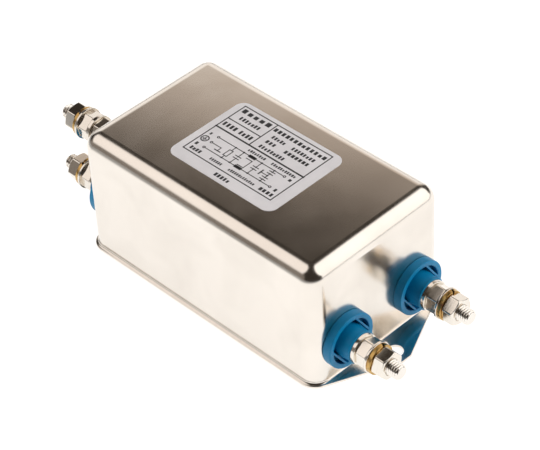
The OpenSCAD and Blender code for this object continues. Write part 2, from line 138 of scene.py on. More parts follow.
class Skin:
    """Points and faces of one mesh, in millimetres, until it becomes an object."""

    def __init__(self) -> None:
        """Starts with nothing."""
        self.points: list[Triple] = []
        self.faces: list[tuple[int, ...]] = []

    def loop(self, points: Iterable[Sequence[float]]) -> list[int]:
        """Adds points.

        Args:
            points: The points, in order.

        Returns:
            Their numbers in the mesh.
        """
        first = len(self.points)
        self.points.extend(tuple(p) for p in points)
        return list(range(first, len(self.points)))

    def level(self, outline: Profile, z: float) -> list[int]:
        """Adds an outline at one height and returns the numbers of its points."""
        return self.loop((x, y, z) for x, y in outline)

    def bridge(self, a: list[int], b: list[int], closed: bool = True) -> None:
        """Joins two loops of one length with four-sided faces.

        Args:
            a: First loop.
            b: Second loop.
            closed: Whether the last point joins the first.
        """
        count = len(a) if closed else len(a) - 1
        for i in range(count):
            j = (i + 1) % len(a)
            self.faces.append((a[i], a[j], b[j], b[i]))

    def cap(self, loop: list[int]) -> None:
        """Closes a loop with one face."""
        self.faces.append(tuple(loop))

    def stack(self, loops: Sequence[list[int]]) -> None:
        """Joins loops one after the other and closes both ends.

        Args:
            loops: The loops, all of one length.
        """
        for a, b in zip(loops, loops[1:]):
            self.bridge(a, b)
        self.cap(loops[0])
        self.cap(loops[-1])

    def turn(self, columns: Sequence[float], rows_at: Callable[[float], Profile],
             closed: bool = True) -> None:
        """Sweeps a profile of radius and u about the u axis.

        Args:
            columns: Angles of the sweep, in radians.
            rows_at: Gives the profile at an angle, always with the same number of points.
            closed: Whether the profile's last point joins its first.
        """
        grid = []
        for a in columns:
            grid.append(self.loop((u, r * math.cos(a), r * math.sin(a)) for r, u in rows_at(a)))
        for i, column in enumerate(grid):
            self.bridge(column, grid[(i + 1) % len(grid)], closed)

    def slab(self, outline: Profile, low: float, high: float) -> None:
        """Adds an upright plate with that outline between two heights."""
        self.stack([self.level(outline, z) for z in (low, high)])

    def box(self, low: Sequence[float], high: Sequence[float]) -> None:
        """Adds a box between two corners."""
        (x0, y0, z0), (x1, y1, z1) = low, high
        self.slab([(x0, y0), (x1, y0), (x1, y1), (x0, y1)], z0, z1)

    def object(self, name: str, place: Optional[Matrix] = None,
               sharp: float = 35) -> bpy.types.Object:
        """Welds the mesh and makes the object.

        Args:
            name: Name of the piece.
            place: Where the piece goes, as a matrix in millimetres.
            sharp: Edges that turn by more than this many degrees stay hard.

        Returns:
            The new object, with its place in its mesh.
        """
        mesh = bpy.data.meshes.new(name)
        mesh.from_pydata(self.points, [], self.faces)
        work = bmesh.new()
        work.from_mesh(mesh)
        bmesh.ops.remove_doubles(work, verts=work.verts, dist=WELD)
        bmesh.ops.dissolve_degenerate(work, edges=work.edges, dist=WELD)
        bmesh.ops.recalc_face_normals(work, faces=work.faces)
        shift = Matrix.Scale(MM, 4) @ (place or Matrix.Identity(4))
        bmesh.ops.transform(work, verts=work.verts, matrix=shift)
        piece = linked(name, work, mesh)
        smooth(piece, sharp)
        return piece


def linked(name: str, work: bmesh.types.BMesh, mesh: bpy.types.Mesh) -> bpy.types.Object:
    """Writes a worked mesh and puts it into the scene.

    Args:
        name: Name of the object.
        work: The worked mesh, which is freed.
        mesh: The mesh to write to.

    Returns:
        The new object.
    """
    work.to_mesh(mesh)
    work.free()
    piece = bpy.data.objects.new(name, mesh)
    bpy.context.scene.collection.objects.link(piece)
    return piece


def smooth(piece: bpy.types.Object, sharp: float) -> None:
    """Shades a piece smooth, with its flat faces kept flat.

    Args:
        piece: The object.
        sharp: Edges that turn by more than this many degrees stay hard.
    """
    piece.data.shade_smooth()
    piece.data.set_sharp_from_angle(angle=math.radians(sharp))
    weights = piece.modifiers.new("flat faces lead", "WEIGHTED_NORMAL")
    weights.keep_sharp = True


class Tree:
    """A node tree, with short ways to add nodes and to feed their sockets."""

    def __init__(self, tree: bpy.types.NodeTree) -> None:
        """Holds the tree."""
        self.tree = tree

    def node(self, kind: str, **settings: object) -> bpy.types.Node:
        """Adds a node and sets its properties.

        Args:
            kind: Its kind.
            **settings: The properties.

        Returns:
            The node.
        """
        made = self.tree.nodes.new(kind)
        for key, value in settings.items():
            setattr(made, key, value)
        return made

    def feed(self, socket: bpy.types.NodeSocket, value: object) -> None:
        """Links a socket to an output, or sets it to a plain value.

        Args:
            socket: The socket.
            value: The output or the value.
        """
        if isinstance(value, bpy.types.NodeSocket):
            self.tree.links.new(value, socket)
        else:
            socket.default_value = value


class Shader(Tree):
    """The node tree of one material."""

    def __init__(self, name: str) -> None:
        """Makes the material with its surface shader and its place on the object.

        Args:
            name: Name of the material.
        """
        self.material = bpy.data.materials.new(name)
        self.material.use_nodes = True
        super().__init__(self.material.node_tree)
        self.surface = self.tree.nodes["Principled BSDF"]
        self.place = self.node("ShaderNodeTexCoord").outputs["Object"]

    def stretched(self, scale: Triple, turn: Triple = (0, 0, 0)) -> bpy.types.NodeSocket:
        """Scales and turns the place on the object.

        Args:
            scale: Scale along each axis.
            turn: Turn about each axis, in degrees.

        Returns:
            The new place.
        """
        mapping = self.node("ShaderNodeMapping")
        self.feed(mapping.inputs["Vector"], self.place)
        mapping.inputs["Scale"].default_value = scale
        mapping.inputs["Rotation"].default_value = [math.radians(a) for a in turn]
        return mapping.outputs["Vector"]

    def noise(self, scale: float, detail: float = 3, place: object = None,
              warp: float = 0) -> bpy.types.NodeSocket:
        """Adds cloudy noise.

        Args:
            scale: Clouds per metre.
            detail: How many finer layers it has.
            place: Where it is read, or None for the place on the object.
            warp: How much it is warped.

        Returns:
            Its value.
        """
        made = self.node("ShaderNodeTexNoise")
        self.feed(made.inputs["Vector"], place or self.place)
        made.inputs["Scale"].default_value = scale
        made.inputs["Detail"].default_value = detail
        made.inputs["Distortion"].default_value = warp
        return made.outputs["Fac"]

    def ramp(self, value: object, stops: Sequence[tuple[float, Colour]]) -> bpy.types.NodeSocket:
        """Lays a colour ramp over a value.

        Args:
            value: The value.
            stops: Spot and colour of each stop.

        Returns:
            The colour.
        """
        made = self.node("ShaderNodeValToRGB")
        self.feed(made.inputs["Fac"], value)
        elements = made.color_ramp.elements
        while len(elements) < len(stops):
            elements.new(0.5)
        for element, (spot, colour) in zip(elements, stops):
            element.position = spot
            element.color = (*colour, 1)
        return made.outputs["Color"]

    def span(self, value: object, low: float, high: float, start: float = 0.3,
             stop: float = 0.7) -> bpy.types.NodeSocket:
        """Spreads a stretch of values over another.

        Args:
            value: The value.
            low: What start becomes.
            high: What stop becomes.
            start: First value of the stretch.
            stop: Last value of the stretch.

        Returns:
            The new value.
        """
        made = self.node("ShaderNodeMapRange")
        self.feed(made.inputs["Value"], value)
        limits = {"From Min": start, "From Max": stop, "To Min": low, "To Max": high}
        for key, number in limits.items():
            made.inputs[key].default_value = number
        return made.outputs["Result"]

    def maths(self, kind: str, a: object, b: object) -> bpy.types.NodeSocket:
        """Works out one sum of two values.

        Args:
            kind: Kind of the sum.
            a: First value.
            b: Second value.

        Returns:
            The result.
        """
        made = self.node("ShaderNodeMath", operation=kind)
        self.feed(made.inputs[0], a)
        self.feed(made.inputs[1], b)
        return made.outputs[0]

    def bump(self, height: object, depth: float, strength: float = 1,
             under: object = None) -> bpy.types.NodeSocket:
        """Makes relief from a height.

        Args:
            height: Height from 0 to 1.
            depth: Real depth of the relief, in metres.
            strength: Share of the relief that is used.
            under: Relief that this one lies on.

        Returns:
            The normal.
        """
        made = self.node("ShaderNodeBump")
        made.inputs["Strength"].default_value = strength
        made.inputs["Distance"].default_value = depth
        self.feed(made.inputs["Height"], height)
        if under is not None:
            self.feed(made.inputs["Normal"], under)
        return made.outputs["Normal"]

    def set(self, **values: object) -> None:
        """Feeds the surface shader, with underscores for spaces in a socket's name."""
        for key, value in values.items():
            self.feed(self.surface.inputs[key.replace("_", " ")], value)


@dataclass(frozen=True)
class Finish(ABC):
    """What a material is, and the record's slot that it belongs to."""

    name: str
    slot: str

    @abstractmethod
    def paint(self, shader: Shader) -> None:
        """Builds the nodes in a shader."""

    def material(self) -> bpy.types.Material:
        """Builds the material, but only once.

        Returns:
            The material.
        """
        if self.name not in bpy.data.materials:
            self.paint(Shader(self.name))
        return bpy.data.materials[self.name]

    def dress(self, piece: bpy.types.Object) -> None:
        """Puts the material on every slot of a piece.

        Args:
            piece: The object.
        """
        if not piece.data.materials:
            piece.data.materials.append(self.material())
        for slot in piece.material_slots:
            slot.material = self.material()


@dataclass(frozen=True)
class Mark:
    """Marks that one way of working leaves in metal.

    The scale is in marks per metre, the turn in degrees and the depth in metres. Marks without a
    depth show in the gloss alone.
    """

    scale: float
    detail: float
    stretch: Triple
    turn: Triple = (0, 0, 0)
    depth: float = 0
    strength: float = 0


MARKS: dict[Weave, Mark] = {
    Weave.SATIN: Mark(60, 5, (1, 1, 9), turn=(0, 0, 20)),
    Weave.TURNED: Mark(900, 3, (1, 0.12, 0.12), depth=0.00003, strength=0.5),
    Weave.DRAWN: Mark(700, 3, (0.15, 1, 1), depth=0.00002, strength=0.4),
}


@dataclass(frozen=True)
class Plate(Finish):
    """Plated metal, with clouds of wear in its colour and its gloss."""

    light: Colour
    dark: Colour
    rough: Point
    weave: Weave = Weave.SATIN
    wave: float = 0
    crown: Point = (0, 0)
    dark_at: float = 0.3
    light_at: float = 0.62
    cloud_scale: float = 38
    cloud_warp: float = 0.6
    cloud_share: float = 0.6
    wave_scale: float = 14
    grain_scale: float = 2600
    grain_depth: float = 0.00001
    grain_strength: float = 0.35

    def paint(self, shader: Shader) -> None:
        """Builds the clouds, and marks that fit the way the metal was worked.

        Args:
            shader: The tree to build in.
        """
        work = MARKS[self.weave]
        cloud = shader.noise(self.cloud_scale, 4, warp=self.cloud_warp)
        mark = shader.noise(work.scale, work.detail, shader.stretched(work.stretch, work.turn))
        wear = shader.maths("ADD", shader.maths("MULTIPLY", cloud, self.cloud_share),
                            shader.maths("MULTIPLY", mark, 1 - self.cloud_share))
        if work.depth:
            relief = shader.bump(mark, work.depth, work.strength)
        else:
            relief = self.satin(shader)
        stops = ((self.dark_at, self.dark), (self.light_at, self.light))
        shader.set(Metallic=1.0, Base_Color=shader.ramp(cloud, stops),
                   Roughness=shader.span(wear, *self.rough), Normal=relief)

    def satin(self, shader: Shader) -> bpy.types.NodeSocket:
        """Builds the relief of a satin sheet: its crown, slow waves and a fine grain.

        Args:
            shader: The tree to build in.

        Returns:
            The normal.
        """
        relief = shader.bump(self.fall(shader), 1) if any(self.crown) else None
        if self.wave:
            relief = shader.bump(shader.noise(self.wave_scale, 1), self.wave, 1, relief)
        grain = shader.noise(self.grain_scale, 2)
        return shader.bump(grain, self.grain_depth, self.grain_strength, relief)

    def fall(self, shader: Shader) -> bpy.types.NodeSocket:
        """Works out the height of a sheet that is drawn slightly domed.

        Args:
            shader: The tree to build in.

        Returns:
            The height, in metres.
        """
        apart = shader.node("ShaderNodeSeparateXYZ")
        shader.feed(apart.inputs[0], shader.place)
        falls = []
        for spot, bend in zip(apart.outputs, self.crown):
            falls.append(shader.maths("MULTIPLY", shader.maths("MULTIPLY", spot, spot), -bend))
        return shader.maths("ADD", *falls)


@dataclass(frozen=True)
class Passivated(Finish):
    """Yellow passivated zinc, which drifts from straw to rose."""

    straw: Colour = (0.58, 0.37, 0.13)
    rose: Colour = (0.44, 0.22, 0.11)
    olive: Colour = (0.28, 0.23, 0.1)
    rough: Point = (0.2, 0.34)
    band_scale: float = 260
    band_warp: float = 1.2
    grain_scale: float = 3000
    grain_depth: float = 0.00001
    grain_strength: float = 0.4

    def paint(self, shader: Shader) -> None:
        """Builds the colour bands and a fine grain.

        Args:
            shader: The tree to build in.
        """
        band = shader.noise(self.band_scale, 3, warp=self.band_warp)
        grain = shader.noise(self.grain_scale, 2)
        stops = ((0.3, self.olive), (0.45, self.straw), (0.58, self.straw), (0.72, self.rose))
        shader.set(Metallic=1.0, Base_Color=shader.ramp(band, stops),
                   Roughness=shader.span(band, *self.rough),
                   Normal=shader.bump(grain, self.grain_depth, self.grain_strength))


@dataclass(frozen=True)
class Moulding(Finish):
    """Moulded plastic, slightly uneven in colour, that lets some light in."""

    light: Colour
    dark: Colour
    rough: Point = (0.34, 0.46)
    grain: float = 0.00002
    glow: float = 0
    glow_reach: Triple = (0.0005, 0.001, 0.002)
    gloss: float = 0.3
    dark_at: float = 0.32
    light_at: float = 0.66
    cloud_scale: float = 90
    cloud_warp: float = 0.4
    sheen_scale: float = 500
    grain_scale: float = 1700
    grain_strength: float = 0.6

    def paint(self, shader: Shader) -> None:
        """Builds the colour, the sheen and the moulded grain.

        Args:
            shader: The tree to build in.
        """
        cloud = shader.noise(self.cloud_scale, 4, warp=self.cloud_warp)
        sheen = shader.noise(self.sheen_scale, 3)
        grain = shader.noise(self.grain_scale, 3)
        stops = ((self.dark_at, self.dark), (self.light_at, self.light))
        shader.set(Base_Color=shader.ramp(cloud, stops), Roughness=shader.span(sheen, *self.rough),
                   Subsurface_Weight=self.glow, Specular_IOR_Level=self.gloss,
                   Normal=shader.bump(grain, self.grain, self.grain_strength))
        shader.surface.inputs["Subsurface Radius"].default_value = self.glow_reach


@dataclass(frozen=True)
class Film(Finish):
    """Matt label film."""

    pale: Colour = (0.79, 0.775, 0.8)
    shade: Colour = (0.73, 0.715, 0.74)
    rough: Point = (0.42, 0.6)
    shade_at: float = 0.3
    pale_at: float = 0.6
    mottle_scale: float = 120
    tooth_scale: float = 1500
    tooth_depth: float = 0.000012
    tooth_strength: float = 0.6

    def paint(self, shader: Shader) -> None:
        """Builds faint mottling and a paper-like tooth.

        Args:
            shader: The tree to build in.
        """
        tooth = shader.noise(self.tooth_scale, 3)
        stops = ((self.shade_at, self.shade), (self.pale_at, self.pale))
        shader.set(Base_Color=shader.ramp(shader.noise(self.mottle_scale, 4), stops),
                   Roughness=shader.span(tooth, *self.rough),
                   Normal=shader.bump(tooth, self.tooth_depth, self.tooth_strength))


@dataclass(frozen=True)
class Ink(Finish):
    """Black print, a little uneven."""

    black: Colour = (0.012, 0.012, 0.014)
    worn: Colour = (0.045, 0.045, 0.05)
    rough: Point = (0.35, 0.55)
    black_at: float = 0.4
    worn_at: float = 0.75
    patch_scale: float = 1400

    def paint(self, shader: Shader) -> None:
        """Builds thin patches in the black.

        Args:
            shader: The tree to build in.
        """
        patch = shader.noise(self.patch_scale, 3)
        stops = ((self.black_at, self.black), (self.worn_at, self.worn))
        shader.set(Base_Color=shader.ramp(patch, stops), Roughness=shader.span(patch, *self.rough))


@dataclass(frozen=True)
class Copper(Finish):
    """Enamelled winding wire, whose turns lie side by side, with painted shade in the crevices
    between them.
    """

    crest: Colour = (0.75, 0.3, 0.1)
    # gap is painted shade: its dark colour stands for the shadowed crevice between two turns.
    gap: Colour = (0.16, 0.05, 0.02)
    rough: Point = (0.2, 0.35)
    shaded_gap_at: float = 0.05
    crest_at: float = 0.4
    turns_per_metre: float = 415
    metal: float = 0.8
    enamel: float = 0.5
    sheen_scale: float = 400
    turn_depth: float = 0.0004
    turn_strength: float = 0.7

    def paint(self, shader: Shader) -> None:
        """Builds bands across X for the turns, with painted shade darkening the crevice between
        each two turns.

        Args:
            shader: The tree to build in.
        """
        wave = shader.node("ShaderNodeTexWave", wave_type="BANDS", bands_direction="X",
                           wave_profile="SIN")
        shader.feed(wave.inputs["Vector"], shader.place)
        wave.inputs["Scale"].default_value = self.turns_per_metre / 2
        turns = wave.outputs["Fac"]
        # The ramp runs from painted shade in the crevices to the copper colour of the crests.
        stops = ((self.shaded_gap_at, self.gap), (self.crest_at, self.crest))
        sheen = shader.noise(self.sheen_scale, 3)
        shader.set(Base_Color=shader.ramp(turns, stops), Metallic=self.metal,
                   Roughness=shader.span(sheen, *self.rough), Coat_Weight=self.enamel,
                   Normal=shader.bump(turns, self.turn_depth, self.turn_strength))


TIN = Plate("satin tin plate", "can_plate", (0.88, 0.83, 0.77), (0.8, 0.75, 0.69), (0.15, 0.23),
            wave=0.00035, crown=(0.3, 0.8))
NICKEL = Plate("bright nickel, turned", "nut_plate", (0.86, 0.81, 0.74), (0.78, 0.73, 0.66),
               (0.1, 0.2), Weave.TURNED)
STEEL = Plate("bright nickel, rolled", "stud_plate", (0.88, 0.84, 0.79), (0.78, 0.74, 0.69),
              (0.12, 0.2), Weave.DRAWN)
TINNED = Plate("tinned brass", "tinned_brass", (0.8, 0.78, 0.72), (0.7, 0.68, 0.62), (0.22, 0.34))
GOLD = Passivated("yellow passivated steel", "passivated_steel")
BLUE = Moulding("bright blue moulding", "insulator_plastic", (0.0, 0.235, 0.47), (0.0, 0.19, 0.4),
                glow=0.06)
FILM = Film("label film", "label_film")
INK = Ink("label ink", "label_film")
SHEET = Moulding("insulating sheet", "sheet_insulation", (0.66, 0.58, 0.36), (0.52, 0.45, 0.27),
                 (0.5, 0.7))
RESIN = Moulding("potting resin", "potting_resin", (0.03, 0.03, 0.034), (0.016, 0.016, 0.02),
                 (0.22, 0.4))
FERRITE = Moulding("ferrite", "ferrite", (0.06, 0.06, 0.065), (0.035, 0.035, 0.04), (0.6, 0.8),
                   0.00005)
IVORY = Moulding("ivory case plastic", "case_plastic", (0.82, 0.78, 0.68), (0.74, 0.7, 0.6),
                 (0.35, 0.5))
YELLOW = Moulding("yellow capacitor box", "x_capacitor_plastic", (0.8, 0.5, 0.05),
                  (0.72, 0.43, 0.04))
DIPPED = Moulding("blue dipped coating", "y_capacitor_ceramic", (0.03, 0.13, 0.5),
                  (0.02, 0.1, 0.4), (0.15, 0.3))
LACQUER = Moulding("resistor lacquer", "resistor_coat", (0.6, 0.46, 0.28), (0.5, 0.38, 0.22),
                   (0.3, 0.5))
WIRE = Copper("enamelled copper", "winding_copper")

INSIDE: dict[str, Finish] = {
    "base_cover": TIN, "base_insulation": SHEET, "potting": RESIN, "choke_core": FERRITE,
    "choke_case": IVORY, "choke_case_lid": IVORY, "choke_divider": IVORY, "winding_live": WIRE,
    "winding_neutral": WIRE, "x_capacitor_line": YELLOW, "x_capacitor_load": YELLOW,
    "y_capacitor_live": DIPPED, "y_capacitor_neutral": DIPPED, "earth_tags": TINNED,
    "discharge_resistor": LACQUER, "solder_tags": TINNED,
}


def settle(piece: bpy.types.Object, finish: Finish, body: str, *nodes: str) -> bpy.types.Object:
    """Dresses a piece and ties it to the frame.

    Args:
        piece: The new object.
        finish: Its finish.
        body: The body that it moves with.
        *nodes: The CAD nodes that it stands for.

    Returns:
        The piece.
    """
    finish.dress(piece)
    if nodes:
        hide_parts(*nodes)
    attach(piece, body)
    LOG.info("%s on %s, %d faces", piece.name, body, len(piece.data.polygons))
    return piece


@dataclass(frozen=True)
class Thread:
    """A rolled screw thread about the u axis, right-handed."""

    pitch: float = 1
    depth: float = 0.54
    shape: tuple[Point, ...] = ((0.04, 1), (0.1, 0.9), (0.37, 0.1), (0.43, 0), (0.57, 0),
                                (0.63, 0.1), (0.9, 0.9), (0.96, 1))

    def height(self, phase: float) -> float:
        """Finds how high the thread stands.

        Args:
            phase: Share of the pitch from crest to crest.

        Returns:
            The height, as a share of the thread's depth.
        """
        phase %= 1
        spots = [(self.shape[-1][0] - 1, 1), *self.shape, (1 + self.shape[0][0], 1)]
        for (a, low), (b, high) in zip(spots, spots[1:]):
            if a <= phase <= b:
                return low + (high - low) * (phase - a) / (b - a)
        return 1

    def rows(self, angle: float, start: float, stop: float, root: float) -> Profile:
        """Draws the thread's profile at an angle, clamped to a stretch of u.

        Args:
            angle: Angle about the axis, in radians.
            start: First u.
            stop: Last u.
            root: Radius at the thread's root.

        Returns:
            Points of radius and u.
        """
        lead = self.pitch * angle / (2 * math.pi)
        first = math.floor(start / self.pitch) - 2
        last = math.ceil(stop / self.pitch) + 1
        made = []
        for turn in range(first, last):
            for phase, _ in self.shape:
                u = min(max((turn + phase) * self.pitch + lead, start), stop)
                made.append((root + self.depth * self.height((u - lead) / self.pitch), u))
        return made


@dataclass
class Hardware:
    """Sizes of the studs, nuts and washers. An ease that is a share is one of the common ease."""

    stud_r: float = 3
    stud_chamfer: float = 0.6
    nut_af: float = 10
    nut_h: float = 5
    washer_r: float = 6
    washer_t: float = 1.6
    flat_r: float = 6.3
    flat_t: float = 1
    lock_r: float = 5.9
    lock_t: float = 1.6
    lock_slit: float = 0.8
    lock_slant: float = 25
    head_h: float = 4
    ease: float = 0.14
    washer_ease_share: float = 1.6
    lock_ease_share: float = 1.3
    corner_ease: float = 0.1
    nut_face_share: float = 0.95
    chamfer_turn: float = 30
    fit: float = 0.2
    bore_fit: float = 0.05
    thread: Thread = field(default_factory=Thread)
    columns: int = 48
    side_columns: tuple[float, ...] = (-30, -28.5, -26, -21, -14, -7, 0, 7, 14, 21, 26, 28.5)

    def hex_columns(self, turn: float) -> list[float]:
        """Spaces a hexagon's columns, closer together near its corners.

        Args:
            turn: Angle of one corner, in degrees.

        Returns:
            Their angles, in radians.
        """
        middles = [turn + HEX_SIDE / 2 + HEX_SIDE * side for side in range(6)]
        return [math.radians(middle + spot) for middle in middles for spot in self.side_columns]

    def hex_radius(self, angle: float, turn: float) -> float:
        """Finds a hexagon's side, with the corners turned off a little.

        Args:
            angle: Angle about the axis, in radians.
            turn: Angle of one corner, in degrees.

        Returns:
            Distance from the axis to the side.
        """
        off = (math.degrees(angle) - turn) % HEX_SIDE - HEX_SIDE / 2
        side = self.nut_af / 2 / math.cos(math.radians(off))
        corner = self.nut_af / 2 / math.cos(math.radians(HEX_SIDE / 2))
        return min(side, corner - self.corner_ease)

    def nut(self, start: float, turn: float) -> Skin:
        """Makes a hexagon nut with chamfered corners and a threaded bore.

        Args:
            start: u of its inner face.
            turn: Angle of one corner from the Y axis, in degrees.

        Returns:
            The mesh.
        """
        skin = Skin()
        stop = start + self.nut_h
        lead_in = self.stud_chamfer / 2
        mouth = self.stud_r + self.bore_fit + lead_in
        face = self.nut_face_share * self.nut_af / 2
        slope = math.tan(math.radians(self.chamfer_turn))
        cut = Thread(self.thread.pitch, -lead_in + self.bore_fit, self.thread.shape)

        def column(angle: float) -> Profile:
            """Draws the nut's profile, with half of each rounding at the bore's mouths.

            Args:
                angle: Angle about the axis, in radians.

            Returns:
                Points of radius and u.
            """
            side = self.hex_radius(angle, turn)
            drop = (side - face) * slope
            outer = eased([(mouth, start), (face, start), (side, start + drop),
                           (side, stop - drop), (face, stop), (mouth, stop)], self.ease)
            bore = cut.rows(angle, start + lead_in, stop - lead_in, mouth - self.bore_fit)
            return outer[2:-2] + bore[::-1]

        skin.turn(self.hex_columns(turn), column)
        return skin

    def washer(self, start: float, thick: float, radius: float) -> Skin:
        """Makes a plain washer with eased edges.

        Args:
            start: u of its inner face.
            thick: Its thickness.
            radius: Its outer radius.

        Returns:
            The mesh.
        """
        skin = Skin()
        inner, stop = self.stud_r + self.fit, start + thick
        rows = eased([(inner, start), (radius, start), (radius, stop), (inner, stop)],
                     self.ease * self.washer_ease_share)
        skin.turn(even_columns(2 * self.columns), lambda angle: rows)
        return skin

    def lock_washer(self, start: float, turn: float) -> Skin:
        """Makes a split lock washer, whose slit is cut on a slant.

        Args:
            start: u of its inner face.
            turn: Angle of the slit, in degrees.

        Returns:
            The mesh.
        """
        skin = Skin()
        inner, outer, stop = self.stud_r + self.fit / 2, self.lock_r, start + self.lock_t
        rows = eased([(inner, start), (outer, start), (outer, stop), (inner, stop)],
                     self.ease * self.lock_ease_share)
        middle = (inner + outer) / 2
        half = math.degrees(self.lock_slit / 2 / middle)
        slant = math.tan(math.radians(self.lock_slant))
        loops = []
        for i in range(2 * self.columns + 1):
            share = i / (2 * self.columns)
            ring = []
            for r, u in rows:
                lean = math.degrees((u - start - self.lock_t / 2) * slant / middle)
                a = math.radians(turn + lean + half + (360 - 2 * half) * share)
                ring.append((u, r * math.cos(a), r * math.sin(a)))
            loops.append(skin.loop(ring))
        skin.stack(loops)
        return skin

    def stud(self, start: float, plain: Point, tip: float, head: bool) -> Skin:
        """Makes a threaded stud with chamfered ends.

        Args:
            start: u of its inner end.
            plain: Stretch of u that is hidden and has no thread.
            tip: u of its outer end.
            head: Whether it has a hexagon head from start on, in place of an inner thread.

        Returns:
            The mesh.
        """
        skin = Skin()
        root = self.stud_r - self.thread.depth
        begin = start + self.head_h

        def column(angle: float) -> Profile:
            """Draws the stud's profile, tapered towards its free ends.

            Args:
                angle: Angle about the axis, in radians.

            Returns:
                Points of radius and u.
            """
            inner = [] if head else self.thread.rows(angle, start, plain[0], root)
            shank = [(self.stud_r, begin if head else plain[0]), (self.stud_r, plain[1])]
            outer = self.thread.rows(angle, plain[1], tip, root)
            taper = []
            for r, u in inner + shank + outer:
                depth = min(tip - u, self.stud_r if head else u - start)
                taper.append((min(r, self.stud_r - self.stud_chamfer + depth), u))
            return [(0, taper[0][1]), *taper, (0, tip)]

        skin.turn(even_columns(self.columns), column, closed=False)
        if head:
            self.head(skin, start, begin)
        return skin

    def head(self, skin: Skin, start: float, stop: float) -> None:
        """Adds a hexagon head.

        Args:
            skin: The mesh that it goes into.
            start: u of its free face.
            stop: u of the face that bears on the wall.
        """
        face = self.nut_af / 2 * self.nut_face_share
        slope = math.tan(math.radians(self.chamfer_turn))

        def column(angle: float) -> Profile:
            """Draws the head's profile.

            Args:
                angle: Angle about the axis, in radians.

            Returns:
                Points of radius and u.
            """
            side = self.hex_radius(angle, 0)
            drop = (side - face) * slope
            return [(0, start), (face, start), (side, start + drop), (side, stop), (0, stop)]

        skin.turn(self.hex_columns(0), column, closed=False)


@dataclass
class Insulator:
    """The outer insulator: a ring, a recess with two ribs, and the hub that the nuts bear on."""

    ring_r: float = 11
    web_t: float = 0.9
    ring_h: float = 3.6
    ring_t: float = 2
    hub_r: float = 6.6
    neck_r: float = 6.1
    rim_r: float = 6.5
    rim_h: float = 0.6
    hub_h: float = 8.2
    rib_at: float = 7.2
    rib_t: float = 0.8
    rib_drop: float = 0.1
    rib_turn: float = 34
    rib_ease_share: float = 0.6
    spigot_r: float = 6.9
    spigot_l: float = 4
    bore_r: float = 3.05
    ease: float = 0.35
    columns: int = 120

    def skin(self) -> Skin:
        """Makes the whole moulding.

        Returns:
            The mesh, with the ribs set into the web and the ring.
        """
        skin = Skin()
        ring_in, rim = self.ring_r - self.ring_t, self.hub_h - self.rim_h
        rows = eased([
            (self.bore_r, -self.spigot_l), (self.spigot_r, -self.spigot_l), (self.spigot_r, 0),
            (self.ring_r, 0), (self.ring_r, self.ring_h), (ring_in, self.ring_h),
            (ring_in, self.web_t), (self.hub_r, self.web_t), (self.neck_r, rim),
            (self.rim_r, rim), (self.rim_r, self.hub_h), (self.bore_r, self.hub_h)], self.ease)
        skin.turn(even_columns(self.columns), lambda angle: rows)
        for side in (-1, 1):
            self.rib(skin, side, ring_in)
        return skin

    def rib(self, skin: Skin, side: int, ring_in: float) -> None:
        """Adds one rib, a rounded bar across the recess.

        Args:
            skin: The mesh that it goes into.
            side: Which side of the hub it lies on, as -1 or 1.
            ring_in: Inside radius of the ring.
        """
        half = math.sqrt(ring_in ** 2 - (self.rib_at - self.rib_t / 2) ** 2) + self.ring_t / 4
        low, top = self.web_t / 2, self.ring_h - self.rib_drop
        near, far = side * self.rib_at - self.rib_t / 2, side * self.rib_at + self.rib_t / 2
        section = eased([(low, near), (top, near), (top, far), (low, far)],
                        self.ease * self.rib_ease_share)
        turn = Matrix.Rotation(math.radians(self.rib_turn), 4, "X")
        ends = []
        for along in (-half, half):
            ends.append(skin.loop(turn @ Vector((u, across, along)) for u, across in section))
        skin.stack(ends)


